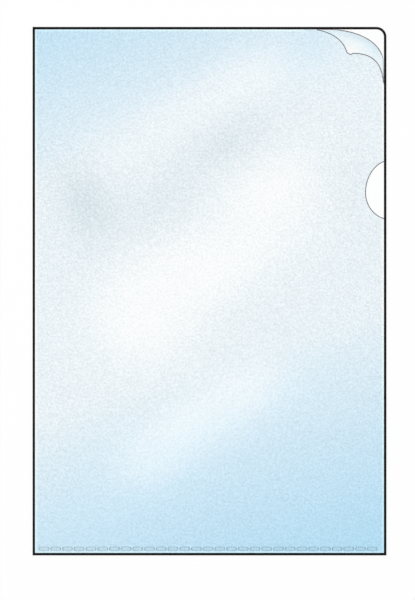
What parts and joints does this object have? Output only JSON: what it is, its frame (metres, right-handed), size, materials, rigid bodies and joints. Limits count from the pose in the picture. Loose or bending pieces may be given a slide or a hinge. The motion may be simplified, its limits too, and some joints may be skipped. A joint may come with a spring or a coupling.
{
  "type": "clear document folder",
  "caption": "Clear film document folder, folded at the left, spot-welded along the bottom, open at top and right, with a thumb notch and a curled front corner.",
  "frame": {"origin": "middle of the back face, on the surface that the folder lies on", "axes": "+X across to the open side, +Y up the page to the open top, +Z out of the front leaf towards the reader"},
  "size_m": [0.231, 0.345, 0.0048],
  "materials": {
    "clear_film": "satin, see-through",
    "weld_film": "pressed, see-through",
    "dark_edge": "matte"
  },
  "bodies": {
    "back": {"back_leaf": "clear_film", "fold_spine": "dark_edge", "edge_top": "dark_edge", "edge_right": "dark_edge", "edge_bottom": "dark_edge", "front_leaf_held": "clear_film", "weld_spot_01": "weld_film", "weld_spot_02": "weld_film", "weld_spot_03": "weld_film", "weld_spot_04": "weld_film", "weld_spot_05": "weld_film", "weld_spot_06": "weld_film", "weld_spot_07": "weld_film", "weld_spot_08": "weld_film", "weld_spot_09": "weld_film", "weld_spot_10": "weld_film", "weld_spot_11": "weld_film", "weld_spot_12": "weld_film", "weld_spot_13": "weld_film", "weld_spot_14": "weld_film", "weld_spot_15": "weld_film", "weld_spot_16": "weld_film", "weld_spot_17": "weld_film", "weld_spot_18": "weld_film", "weld_spot_19": "weld_film", "weld_spot_20": "weld_film", "weld_spot_21": "weld_film", "weld_spot_22": "weld_film", "weld_spot_23": "weld_film", "weld_spot_24": "weld_film", "weld_spot_25": "weld_film", "weld_spot_26": "weld_film", "weld_spot_27": "weld_film", "weld_spot_28": "weld_film", "weld_spot_29": "weld_film"},
    "front_free": {"front_leaf_free": "clear_film"},
    "corner": {"curled_corner": "clear_film"}
  },
  "joints": [
    {"name": "front_leaf_lift", "type": "hinge", "parent": "back", "child": "front_free", "pos_m": [0, 0.00282, 0.001], "axis": [0.5609, -0.8279, 0], "range_deg": [0, 65]},
    {"name": "corner_lift", "type": "hinge", "parent": "front_free", "child": "corner", "pos_m": [0.08835, 0.15235, 0.001], "axis": [0.8235, -0.5673, 0], "range_deg": [0, 40]}
  ]
}
